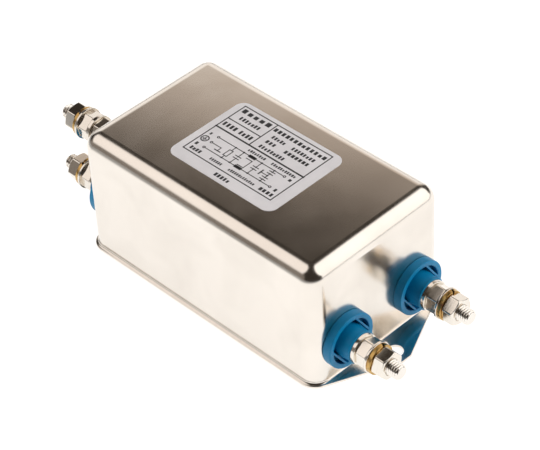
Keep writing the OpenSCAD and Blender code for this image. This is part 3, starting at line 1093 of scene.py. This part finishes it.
@dataclass
class Terminal:
    """One stud with its insulator, nuts and washers. The turns are angles in degrees."""

    name: str
    end: End
    clamp_turn: float
    wire_turn: float
    fixing_turn: float = 57
    backing_turn: float = 15
    lock_turn: float = 70
    wall_x: float = 59
    wall_t: float = 1
    hub_h: float = 8.2
    inner_tip: float = -13
    inner_plain: float = -6.8
    hardware: Hardware = field(default_factory=Hardware)

    @property
    def earth(self) -> bool:
        """Whether the stud is bonded to the can."""
        return self.name == "earth"

    def place(self) -> Matrix:
        """Finds the terminal's axis, which is where the frame has the flat washer.

        Returns:
            The terminal's frame, in millimetres.
        """
        low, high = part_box(f"flat_washer_{self.name}")
        middle = (low + high) / (2 * MM)
        face = Matrix.Identity(4) if self.end is End.LOAD else Matrix.Rotation(math.pi, 4, "Z")
        return Matrix.Translation((self.end.value * self.wall_x, middle.y, middle.z)) @ face

    def build(self) -> None:
        """Makes every piece of the terminal and ties each to its body."""
        name, parts = self.name, self.hardware
        clamp = self.hub_h + parts.washer_t
        flat = clamp + parts.nut_h
        lock = flat + parts.flat_t
        wire = lock + parts.lock_t
        stud_low, stud_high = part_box(f"stud_{self.name}")
        tip = max(abs(stud_low.x), abs(stud_high.x)) / MM - self.wall_x
        start = -self.wall_t - parts.head_h if self.earth else self.inner_tip
        plain = (0.0 if self.earth else self.inner_plain, clamp + parts.nut_h / 2)
        self.put("stud", parts.stud(start, plain, tip, self.earth), STEEL, FILTER, f"stud_{name}")
        if self.earth:
            self.earth_stack()
        else:
            self.insulation()
        plain_washer = parts.washer(self.hub_h, parts.washer_t, parts.washer_r)
        self.put("plain_washer", plain_washer, NICKEL, FILTER, "plain_washers")
        self.put("clamp_nut", parts.nut(clamp, self.clamp_turn), NICKEL, FILTER, "clamp_nuts")
        loose = f"washers_{name}"
        flat_washer = parts.washer(flat, parts.flat_t, parts.flat_r)
        self.put("flat_washer", flat_washer, NICKEL, loose, f"flat_washer_{name}")
        lock_washer = parts.lock_washer(lock, self.lock_turn)
        self.put("lock_washer", lock_washer, GOLD, loose, f"lock_washer_{name}")
        wire_nut = parts.nut(wire, self.wire_turn)
        self.put("wire_nut", wire_nut, NICKEL, f"nut_{name}", f"wire_nut_{name}")
        spot = tuple(round(v, 2) for v in self.place().translation)
        LOG.info("terminal %s at %s", name, spot)

    def insulation(self) -> None:
        """Makes the outer insulator and the backing nut, and dresses the inner insulator."""
        name, parts = self.name, self.hardware
        moulding = Insulator(hub_h=self.hub_h).skin()
        self.put("insulator", moulding, BLUE, FILTER, f"insulator_{name}")
        backing_nut = parts.nut(self.inner_plain - parts.nut_h, self.backing_turn)
        self.put("backing_nut", backing_nut, NICKEL, FILTER, "backing_nuts")
        BLUE.dress(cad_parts[f"inner_insulator_{name}"])

    def earth_stack(self) -> None:
        """Makes the washers and the nut that bond the earth stud to the wall."""
        parts = self.hardware
        lock = self.hub_h - parts.nut_h - parts.lock_t
        bond_washer = parts.washer(0, lock, parts.washer_r)
        self.put("bond_washer", bond_washer, NICKEL, FILTER, "plain_washers")
        bond_lock_washer = parts.lock_washer(lock, self.lock_turn)
        self.put("bond_lock_washer", bond_lock_washer, GOLD, FILTER, "earth_lock_washer")
        fixing_nut = parts.nut(lock + parts.lock_t, self.fixing_turn)
        self.put("fixing_nut", fixing_nut, NICKEL, FILTER, "earth_fixing_nut")

    def put(self, kind: str, skin: Skin, finish: Finish, body: str, node: str) -> None:
        """Turns a mesh in the terminal's frame into a piece.

        Args:
            kind: What the piece is.
            skin: Its mesh.
            finish: Its finish.
            body: The body that it moves with.
            node: The CAD node that it stands for.
        """
        settle(skin.object(f"{kind}_of_{self.name}", self.place()), finish, body, node)


@dataclass
class Can:
    """The drawn can with its flange, fixing ears and holes."""

    length: float = 118
    width: float = 66
    height: float = 53.5
    sheet: float = 1
    corner_r: float = 6.4
    flange_w: float = 1.2
    foot_r: float = 1
    ear_hole_out: float = 7.5
    ear_hole_r: float = 3
    ear_tip_reach: float = 5.5
    ear_tip_r: float = 3
    ear_tip_half: float = 1.6
    stud_hole_r: float = 7
    earth_hole_r: float = 3.1
    edge_ease: float = 0.12
    sharp: float = 50
    edge_steps: int = 20
    foot_steps: int = 6
    arc_steps: int = 16
    hole_steps: int = 64

    def ear_turn(self) -> float:
        """Finds how the ear's slanting edge lies.

        Returns:
            Angle of the edge's normal, in degrees.
        """
        corner, tip = self.corner(), self.tip()
        reach = math.dist(corner, tip)
        lean = math.atan2(corner[1] - tip[1], corner[0] - tip[0])
        wider = self.ear_tip_r - self.corner_r - self.flange_w
        return math.degrees(lean - math.acos(wider / reach))

    def corner(self) -> Point:
        """Middle of the upright corner's arc."""
        return (self.length / 2 - self.corner_r, self.width / 2 - self.corner_r)

    def tip(self) -> Point:
        """Middle of the arc at the ear's outer corner."""
        out = self.ear_hole_out + self.ear_tip_reach - self.ear_tip_r
        return (self.length / 2 + out, self.ear_tip_half)

    @staticmethod
    def all_round(quarter: Profile) -> Profile:
        """Mirrors a quarter of an outline all round.

        Args:
            quarter: The outline from the X axis to the Y axis.

        Returns:
            The whole outline.
        """
        back = quarter[::-1]
        return (quarter + [(-x, y) for x, y in back] + [(-x, -y) for x, y in quarter]
                + [(x, -y) for x, y in back])

    def wall_outline(self, radius: float) -> Profile:
        """Draws the walls at one level.

        Args:
            radius: Radius of the upright corners there.

        Returns:
            The outline.
        """
        corner, turn, steps = self.corner(), self.ear_turn(), self.arc_steps
        start = [(corner[0] + radius, self.ear_tip_half)]
        lower, upper = arc(corner, radius, 0, turn, steps), arc(corner, radius, turn, 90, steps)
        return self.all_round(start + lower + upper)

    def foot_outline(self, inset: float) -> Profile:
        """Draws the flange and its ears, with a point for each point of the walls.

        Args:
            inset: How far the outline is drawn in.

        Returns:
            The outline.
        """
        corner, tip, turn, steps = self.corner(), self.tip(), self.ear_turn(), self.arc_steps
        tip_arc = arc(tip, self.ear_tip_r - inset, 0, turn, steps)
        corner_arc = arc(corner, self.corner_r + self.flange_w - inset, turn, 90, steps)
        return self.all_round([tip_arc[0], *tip_arc, *corner_arc])

    def skin(self) -> Skin:
        """Makes the can without its holes.

        Returns:
            The mesh, outside and inside.
        """
        skin = Skin()
        ease, sheet, shoulder = self.edge_ease, self.sheet, self.height - self.corner_r
        foot = arc((self.corner_r + self.foot_r, sheet + self.foot_r), self.foot_r, 270, 180,
                   self.foot_steps)
        edge = arc((0, shoulder), self.corner_r, 0, 90, self.edge_steps)
        rim = [(ease, sheet), (0, sheet - ease), (0, ease), (ease, 0)]
        inner_r = self.corner_r - sheet
        inner = [(inner_r, 0.0), *arc((0, shoulder), inner_r, 0, 90, self.edge_steps // 2)]
        outside = [skin.level(self.wall_outline(r), z) for r, z in foot + edge]
        flange = [skin.level(self.foot_outline(inset), z) for inset, z in rim]
        inside = [skin.level(self.wall_outline(r), z) for r, z in inner]
        skin.stack(outside[::-1] + flange + inside)
        return skin

    def rod(self, start: Vector, stop: Vector, radius: float) -> bpy.types.Object:
        """Makes a rod that cuts a round hole.

        Args:
            start: One end of its axis, in millimetres.
            stop: The other end.
            radius: Its radius, in millimetres.

        Returns:
            The rod.
        """
        work = bmesh.new()
        axis = stop - start
        bmesh.ops.create_cone(work, cap_ends=True, segments=self.hole_steps, radius1=radius * MM,
                              radius2=radius * MM, depth=axis.length * MM)
        place = Matrix.Translation((start + stop) / 2 * MM)
        turn = axis.to_track_quat("Z", "Y").to_matrix().to_4x4()
        bmesh.ops.transform(work, verts=work.verts, matrix=place @ turn)
        return linked("rod", work, bpy.data.meshes.new("rod"))

    def cut(self, piece: bpy.types.Object, rod: bpy.types.Object) -> None:
        """Cuts a hole through the sheet.

        Args:
            piece: The can.
            rod: The rod to cut with, which is removed.
        """
        bite = piece.modifiers.new("hole", "BOOLEAN")
        bite.operation, bite.solver, bite.object = "DIFFERENCE", "MANIFOLD", rod
        bpy.context.view_layer.update()
        seen = piece.evaluated_get(bpy.context.evaluated_depsgraph_get())
        fresh = bpy.data.meshes.new_from_object(seen)
        piece.modifiers.remove(bite)
        piece.data = fresh
        bpy.data.objects.remove(rod)

    def build(self, terminals: Sequence[Terminal]) -> None:
        """Makes the can and ties it to the frame.

        Args:
            terminals: The terminals whose studs go through its end walls.
        """
        piece = self.skin().object("drawn_can", sharp=self.sharp)
        piece.modifiers.clear()
        sheet = self.sheet
        for end in End.LINE, End.LOAD:
            x = end.value * (self.length / 2 + self.ear_hole_out)
            low, high = Vector((x, 0, -sheet)), Vector((x, 0, 2 * sheet))
            self.cut(piece, self.rod(low, high, self.ear_hole_r))
        for terminal in terminals:
            place = terminal.place()
            radius = self.earth_hole_r if terminal.earth else self.stud_hole_r
            inner, outer = place @ Vector((-2 * sheet, 0, 0)), place @ Vector((sheet, 0, 0))
            self.cut(piece, self.rod(inner, outer, radius))
        smooth(piece, self.sharp)
        settle(piece, TIN, FILTER, "can")


@dataclass(frozen=True)
class BlockRow:
    """A row of plain blocks on the label, from start to stop along X, about a line at y."""

    start: float
    stop: float
    y: float
    height: float
    count: int


BLOCK_ROWS = tuple(BlockRow(*row) for row in (
    (-22.8, -8.7, 16.1, 2.3, 5), (-20.5, -10.5, 12.2, 1.9, 7), (-23, -16.4, 6.3, 2.2, 4),
    (-14.8, -8.6, 6.3, 2.2, 4), (-6.4, 19.2, 15.8, 1.9, 13), (-4, 2.4, 12.2, 1.7, 5),
    (6, 17, 12.2, 1.7, 8), (-4, 0.6, 9, 1.7, 3), (5.2, 17, 9.1, 1.7, 7), (-4, 8.2, 5.6, 1.7, 9),
    (-5.2, 3.2, 1.3, 1.3, 8), (6.4, 18.2, 1.3, 1.3, 11), (-22.3, -17, -11.2, 1.7, 4),
    (-12.2, -6.4, -11.2, 1.3, 6), (-2.8, 10, -11.2, 1.3, 13), (12.6, 19.2, -11.2, 1.7, 4),
    (-22.4, -21.2, -1, 1.6, 1), (-22.6, -21, -8.4, 1.6, 1), (17.2, 18.8, -1, 1.6, 1),
    (17.2, 18.8, -8.4, 1.6, 1), (-4.8, 2.4, -16.1, 1.8, 5)))


@dataclass
class Label:
    """The white label and its print: a frame, rows of plain blocks, and the filter's circuit.

    Places on it are millimetres from the middle of the can's top. The blocks' widths and rises are
    shares of their pitch and of half their height.
    """

    line_w: float = 0.48
    thin_w: float = 0.38
    ease: float = 0.04
    corner_r: float = 4
    corner_steps: int = 16
    ink_sink: float = 0.005
    ink_t: float = 0.02
    left: float = -24
    right: float = 20.1
    top: float = 18.4
    bottom: float = -13.3
    cell_x: float = -7.2
    cell_y: float = 9.4
    circuit_y: float = 3.3
    circuit_line_share: float = 1.5
    seed: int = 7
    block_gap: float = 0.26
    block_widths: Point = (0.8, 1)
    block_rises: tuple[float, ...] = (0.6, 1, 1, 1)
    live_y: float = -0.9
    neutral_y: float = -8.3
    earth_y: float = -4.6
    line_x: float = -18.4
    load_x: float = 14.9
    eye_r: float = 0.45
    eye_out: float = 0.5
    dot_r: float = 0.42
    dots_x: tuple[float, ...] = (-9.4, -5.3, 3.7, 10)
    coil: Point = (-2.9, 0.6)
    coil_half: float = 0.72
    resistor_x: float = -9.4
    across_x: Point = (-5.2, 3.7)
    case_x: float = 10
    case_lift: float = 0.1
    bond_x: float = 6.9
    bond_bar: Point = (6.5, 7.1)
    bond_half: float = 1.5
    ring_steps: int = 24
    dot_steps: int = 16
    ink: Skin = field(default_factory=Skin, init=False)
    ink_low: float = field(default=0, init=False)
    ink_high: float = field(default=0, init=False)

    def build(self) -> None:
        """Makes the film and the print and ties both to the frame."""
        low, high = (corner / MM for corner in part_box("label"))
        settle(self.film(low, high).object("label_film_plate"), FILM, FILTER, "label")
        self.ink_low = high.z - self.ink_sink
        self.ink_high = self.ink_low + self.ink_t
        self.frame_lines()
        self.rows()
        self.circuit()
        settle(self.ink.object("label_print"), INK, FILTER)

    def film(self, low: Vector, high: Vector) -> Skin:
        """Makes the film, with round corners and an eased upper edge.

        Args:
            low: Lowest corner of its box, in millimetres.
            high: Highest corner of its box, in millimetres.

        Returns:
            The mesh.
        """
        skin = Skin()
        middle, half = (low + high) / 2, (high - low) / 2
        corner = (half.x - self.corner_r, half.y - self.corner_r)
        rings = []
        for inset, z in ((0, low.z), (0, high.z - self.ease), (self.ease, high.z)):
            quarter = arc(corner, self.corner_r - inset, 0, 90, self.corner_steps)
            outline = [(middle.x + x, middle.y + y) for x, y in Can.all_round(quarter)]
            rings.append(skin.level(outline, z))
        skin.stack(rings)
        return skin

    def bar(self, x0: float, y0: float, x1: float, y1: float) -> None:
        """Prints a filled rectangle between two corners."""
        low, high = (min(x0, x1), min(y0, y1)), (max(x0, x1), max(y0, y1))
        self.ink.box((*low, self.ink_low), (*high, self.ink_high))

    def stroke(self, x0: float, y0: float, x1: float, y1: float, width: float) -> None:
        """Prints a line along X or Y, with square ends."""
        half = width / 2
        self.bar(min(x0, x1) - half, min(y0, y1) - half, max(x0, x1) + half, max(y0, y1) + half)

    def ring(self, x: float, y: float, radius: float, width: float) -> None:
        """Prints a circle.

        Args:
            x: Middle along X.
            y: Middle along Y.
            radius: Radius to the middle of the line.
            width: Width of the line.
        """
        outer, inner = radius + width / 2, radius - width / 2
        section = ((outer, self.ink_low), (outer, self.ink_high), (inner, self.ink_high),
                   (inner, self.ink_low))
        loops = [self.ink.level(circle((x, y), r, self.ring_steps), z) for r, z in section]
        for a, b in zip(loops, loops[1:] + loops[:1]):
            self.ink.bridge(a, b)

    def eye(self, x: float, y: float) -> None:
        """Prints the small circle at the end of a wire."""
        self.ring(x, y, self.eye_r, self.thin_w)

    def dot(self, x: float, y: float) -> None:
        """Prints the filled circle where wires join."""
        self.ink.slab(circle((x, y), self.dot_r, self.dot_steps), self.ink_low, self.ink_high)

    def frame_lines(self) -> None:
        """Prints the outer frame and the lines between its cells."""
        for y in (self.top, self.bottom):
            self.stroke(self.left, y, self.right, y, self.line_w)
        for x in (self.left, self.right):
            self.stroke(x, self.bottom, x, self.top, self.line_w)
        thick = self.line_w * self.circuit_line_share
        self.stroke(self.left, self.circuit_y, self.right, self.circuit_y, thick)
        self.stroke(self.cell_x, self.circuit_y, self.cell_x, self.top, self.line_w)
        self.stroke(self.left, self.cell_y, self.cell_x, self.cell_y, self.line_w)

    def rows(self) -> None:
        """Prints the rows of plain blocks."""
        draw = random.Random(self.seed)
        for row in BLOCK_ROWS:
            reach = row.stop - row.start
            pitch = reach / (row.count - self.block_gap) if row.count > 1 else reach
            for i in range(row.count):
                wide = pitch * (1 - self.block_gap) * draw.uniform(*self.block_widths)
                rise = row.height / 2 * draw.choice(self.block_rises)
                left = row.start + i * pitch
                self.bar(left, row.y - row.height / 2, left + wide, row.y + rise)

    def circuit(self) -> None:
        """Prints the two lines, the resistor, the choke, the capacitors and the case's branch."""
        live, neutral, mid, case = self.live_y, self.neutral_y, self.earth_y, self.case_x
        for y in (live, neutral):
            self.stroke(self.line_x + self.eye_out, y, self.load_x - self.eye_out, y, self.thin_w)
            for x in (self.line_x, self.load_x):
                self.eye(x, y)
            self.bar(self.coil[0], y - self.coil_half, self.coil[1], y + self.coil_half)
            for x in self.dots_x:
                self.dot(x, y)
        self.resistor(self.resistor_x)
        for x in self.across_x:
            self.capacitor(x, live, neutral, mid)
        self.capacitor(case, live, mid, (live + mid) / 2 + self.case_lift)
        self.capacitor(case, mid, neutral, (neutral + mid) / 2)
        self.dot(case, mid)
        self.stroke(self.bond_x, mid, case, mid, self.thin_w)
        self.bar(self.bond_bar[0], mid - self.bond_half, self.bond_bar[1], mid + self.bond_half)
        self.core()
        self.earth_mark()

    def resistor(self, x: float) -> None:
        """Prints the discharge resistor's box between the lines.

        Args:
            x: Middle along X.
        """
        top, low, half = -3.2, -6.8, 0.85
        self.stroke(x, self.live_y, x, top, self.thin_w)
        self.stroke(x, low, x, self.neutral_y, self.thin_w)
        for side in (-half, half):
            self.stroke(x + side, low, x + side, top, self.thin_w)
        for y in (low, top):
            self.stroke(x - half, y, x + half, y, self.thin_w)

    def capacitor(self, x: float, top: float, low: float, middle: float) -> None:
        """Prints two plates on a wire along Y.

        Args:
            x: Middle along X.
            top: Upper end of the wire.
            low: Lower end of the wire.
            middle: Height between the plates.
        """
        gap, plate, half = 0.42, 0.42, 1.5
        self.stroke(x, top, x, middle + gap, self.thin_w)
        self.stroke(x, low, x, middle - gap, self.thin_w)
        for side in (-1, 1):
            y = middle + side * gap
            self.bar(x - half, y, x + half, y + side * plate)

    def core(self) -> None:
        """Prints the line that couples the choke's two windings."""
        left, right, top, low = -2.5, 0.45, -2.6, -7.2
        self.stroke(left, top, right, top, self.thin_w)
        self.stroke(left, low, right, low, self.thin_w)
        self.stroke(right, low, right, top, self.thin_w)

    def earth_mark(self) -> None:
        """Prints the earth terminal with its symbol, and its branch to the case."""
        x, eye, start, branch, mid, thin = -21.7, -18.3, -17.8, -13.3, self.earth_y, self.thin_w
        radius, fat, lean, foot = 1.5, 1.3, 0.8, 1.9
        arms = ((0, 0.9), (0.45, 0.6), (0.9, 0.25))
        plate = (-14.9, -2.25, -11.7, -1.75)
        self.ring(x, mid, radius, thin * fat)
        self.stroke(x, mid + arms[0][1], x, mid, thin)
        for drop, half in arms:
            self.stroke(x - half, mid - drop, x + half, mid - drop, thin * lean)
        self.eye(eye, mid)
        self.stroke(start, mid, branch, mid, thin)
        self.stroke(branch, mid, branch, mid - foot, thin)
        self.bar(plate[0], mid + plate[1], plate[2], mid + plate[3])


@dataclass(frozen=True)
class Camera:
    """The camera at the photograph's angle. The angles are in degrees."""

    azimuth: float = 46.952
    elevation: float = 41.158
    roll: float = -3.358
    lens: float = 141
    sensor: float = 36
    distance: float = 808.9
    target: Triple = (-16.513, 18.641, 0)
    image: Point = (540, 450)
    middle: Point = (266.94, 224.54)
    clip: Point = (0.01, 50)

    def axes(self) -> tuple[Vector, Vector, Vector]:
        """Works out the camera's axes.

        Returns:
            Right, up and backwards.
        """
        a, e, r = (math.radians(v) for v in (self.azimuth, self.elevation, self.roll))
        back = Vector((math.sin(a) * math.cos(e), -math.cos(a) * math.cos(e), math.sin(e)))
        level = Vector((math.cos(a), math.sin(a), 0))
        up = back.cross(level)
        right = math.cos(r) * level + math.sin(r) * up
        return right, back.cross(right), back

    def build(self) -> None:
        """Sets the camera where the photograph was taken from."""
        lens = bpy.data.cameras.new("camera")
        lens.lens, lens.sensor_width = self.lens, self.sensor
        lens.shift_x = (self.image[0] / 2 - self.middle[0]) / self.image[0]
        lens.shift_y = (self.middle[1] - self.image[1] / 2) / self.image[0]
        lens.clip_start, lens.clip_end = self.clip
        right, up, back = self.axes()
        spot = Matrix.Translation((Vector(self.target) + back * self.distance) * MM)
        camera = bpy.data.objects.new("camera", lens)
        camera.matrix_world = spot @ Matrix((right, up, back)).transposed().to_4x4()
        bpy.context.scene.collection.objects.link(camera)
        bpy.context.scene.camera = camera


@dataclass(frozen=True)
class Floor:
    """A plain pale floor that glows near the object and is dim beyond the picture's edge.

    Its lengths are in metres. The camera sees the near light everywhere.
    """

    half: float = 6
    middle: Triple = (0.12, 0.2, 0)
    reach: Point = (0.4, 0.52)
    near: float = 0.92
    far: float = 0.12
    grey: Colour = (0.3, 0.3, 0.3)
    glow: Colour = (1, 0.985, 0.965)
    rough: float = 0.9

    def build(self) -> None:
        """Lays the floor."""
        half = self.half
        mesh = bpy.data.meshes.new("floor")
        corners = [(-half, -half, 0), (half, -half, 0), (half, half, 0), (-half, half, 0)]
        mesh.from_pydata(corners, [], [(0, 1, 2, 3)])
        floor = bpy.data.objects.new("floor", mesh)
        bpy.context.scene.collection.objects.link(floor)
        shader = Shader("pale floor")
        away = shader.node("ShaderNodeVectorMath", operation="DISTANCE")
        shader.feed(away.inputs[0], shader.place)
        away.inputs[1].default_value = self.middle
        light = shader.span(away.outputs["Value"], self.near, self.far, *self.reach)
        seen = shader.node("ShaderNodeLightPath").outputs["Is Camera Ray"]
        glow = shader.maths("MAXIMUM", light, shader.maths("MULTIPLY", seen, self.near))
        shader.set(Base_Color=(*self.grey, 1), Roughness=self.rough, Specular_IOR_Level=0.0,
                   Emission_Color=(*self.glow, 1), Emission_Strength=glow)
        mesh.materials.append(shader.material)


@dataclass(frozen=True)
class Panel:
    """A round soft panel of the room, with its half width and its soft rim in degrees."""

    towards: Triple
    wide: float
    soft: float
    light: Colour

    def lay(self, room: Tree, place: bpy.types.NodeSocket,
            under: bpy.types.NodeSocket) -> bpy.types.NodeSocket:
        """Lays the panel over what is there.

        Args:
            room: The world's node tree.
            place: Direction that is looked in.
            under: Light of the room without the panel.

        Returns:
            Light of the room with the panel.
        """
        dot = room.node("ShaderNodeVectorMath", operation="DOT_PRODUCT")
        room.feed(dot.inputs[0], place)
        dot.inputs[1].default_value = Vector(self.towards).normalized()
        mask = room.node("ShaderNodeMapRange", interpolation_type="SMOOTHSTEP")
        room.feed(mask.inputs["Value"], dot.outputs["Value"])
        mask.inputs["From Min"].default_value = math.cos(math.radians(self.wide + self.soft))
        mask.inputs["From Max"].default_value = math.cos(math.radians(self.wide))
        mix = room.node("ShaderNodeMix", data_type="RGBA")
        share, below, above = mix.inputs[0], mix.inputs[6], mix.inputs[7]
        room.feed(share, mask.outputs["Result"])
        room.feed(below, under)
        above.default_value = (*self.light, 1)
        return mix.outputs[2]


@dataclass(frozen=True)
class Sky:
    """A dim room with soft panels for the reflections, and plain pale to the camera."""

    dim: Colour = (0.035, 0.028, 0.022)
    pale: Colour = (1, 1, 1)
    panels: tuple[Panel, ...] = (
        Panel((-0.62, 0.72, 0.3), 4, 25, (0.7, 0.59, 0.5)),
        Panel((-0.8, 0.6, -0.12), 30, 10, (1.05, 1.0, 0.95)),
        Panel((-0.546, -0.84, 0.0), 26, 16, (0.22, 0.19, 0.165)),
        Panel((-0.546, -0.444, 0.71), 23, 7, (1.08, 1.0, 0.94)),
        Panel((0.55, 0.518, 0.655), 30, 8, (1.35, 1.3, 1.25)),
        Panel((0.72, 0.69, 0.05), 22, 8, (1.3, 1.25, 1.2)),
    )

    def build(self) -> None:
        """Makes the world."""
        world = bpy.data.worlds.new("studio")
        bpy.context.scene.world = world
        world.use_nodes = True
        room = Tree(world.node_tree)
        place = room.node("ShaderNodeTexCoord").outputs["Generated"]
        light = room.node("ShaderNodeRGB").outputs[0]
        light.default_value = (*self.dim, 1)
        for panel in self.panels:
            light = panel.lay(room, place, light)
        seen = room.node("ShaderNodeLightPath").outputs["Is Camera Ray"]
        studio, pale = room.node("ShaderNodeBackground"), room.node("ShaderNodeBackground")
        room.feed(studio.inputs["Color"], light)
        pale.inputs["Color"].default_value = (*self.pale, 1)
        choice = room.node("ShaderNodeMixShader")
        for socket, value in zip(choice.inputs, (seen, studio.outputs[0], pale.outputs[0])):
            room.feed(socket, value)
        room.feed(room.tree.nodes["World Output"].inputs["Surface"], choice.outputs[0])


@dataclass(frozen=True)
class Lamp:
    """A soft square lamp that looks at the object and isn't seen in reflections.

    Its side and its distance are in metres, its power in watts.
    """

    name: str
    towards: Triple
    side: float = 0.9
    power: float = 7
    distance: float = 1.6

    def build(self) -> None:
        """Hangs the lamp."""
        light = bpy.data.lights.new(self.name, "AREA")
        light.size, light.energy = self.side, self.power
        lamp = bpy.data.objects.new(self.name, light)
        way = Vector(self.towards).normalized()
        turn = way.to_track_quat("Z", "Y").to_matrix().to_4x4()
        lamp.matrix_world = Matrix.Translation(way * self.distance) @ turn
        lamp.visible_glossy = False
        bpy.context.scene.collection.objects.link(lamp)


@dataclass(frozen=True)
class Studio:
    """Floor, room, lamps and camera."""

    floor: Floor = Floor()
    sky: Sky = Sky()
    lamps: tuple[Lamp, ...] = (Lamp("left lamp", (-0.5, -0.6, 0.75)),
                               Lamp("right lamp", (0.7, 0.45, 0.6)))
    camera: Camera = Camera()

    def build(self) -> None:
        """Sets the whole studio, with colours shown as they are lit."""
        bpy.context.scene.view_settings.view_transform = "Standard"
        for piece in (self.floor, self.sky, *self.lamps, self.camera):
            piece.build()


def main() -> None:
    """Builds the parts in order."""
    logging.basicConfig(level=logging.INFO, format="%(name)s: %(message)s")
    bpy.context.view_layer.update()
    terminals = [
        Terminal("line_live", End.LINE, 20, 5), Terminal("line_neutral", End.LINE, 40, 25),
        Terminal("load_live", End.LOAD, 35, 69), Terminal("load_neutral", End.LOAD, 84, 38),
        Terminal("earth", End.LINE, 18, 50),
    ]
    Can().build(terminals)
    Label().build()
    for terminal in terminals:
        terminal.build()
    for node, finish in INSIDE.items():
        finish.dress(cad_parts[node])
    Studio().build()


if __name__ == "__main__":
    main()
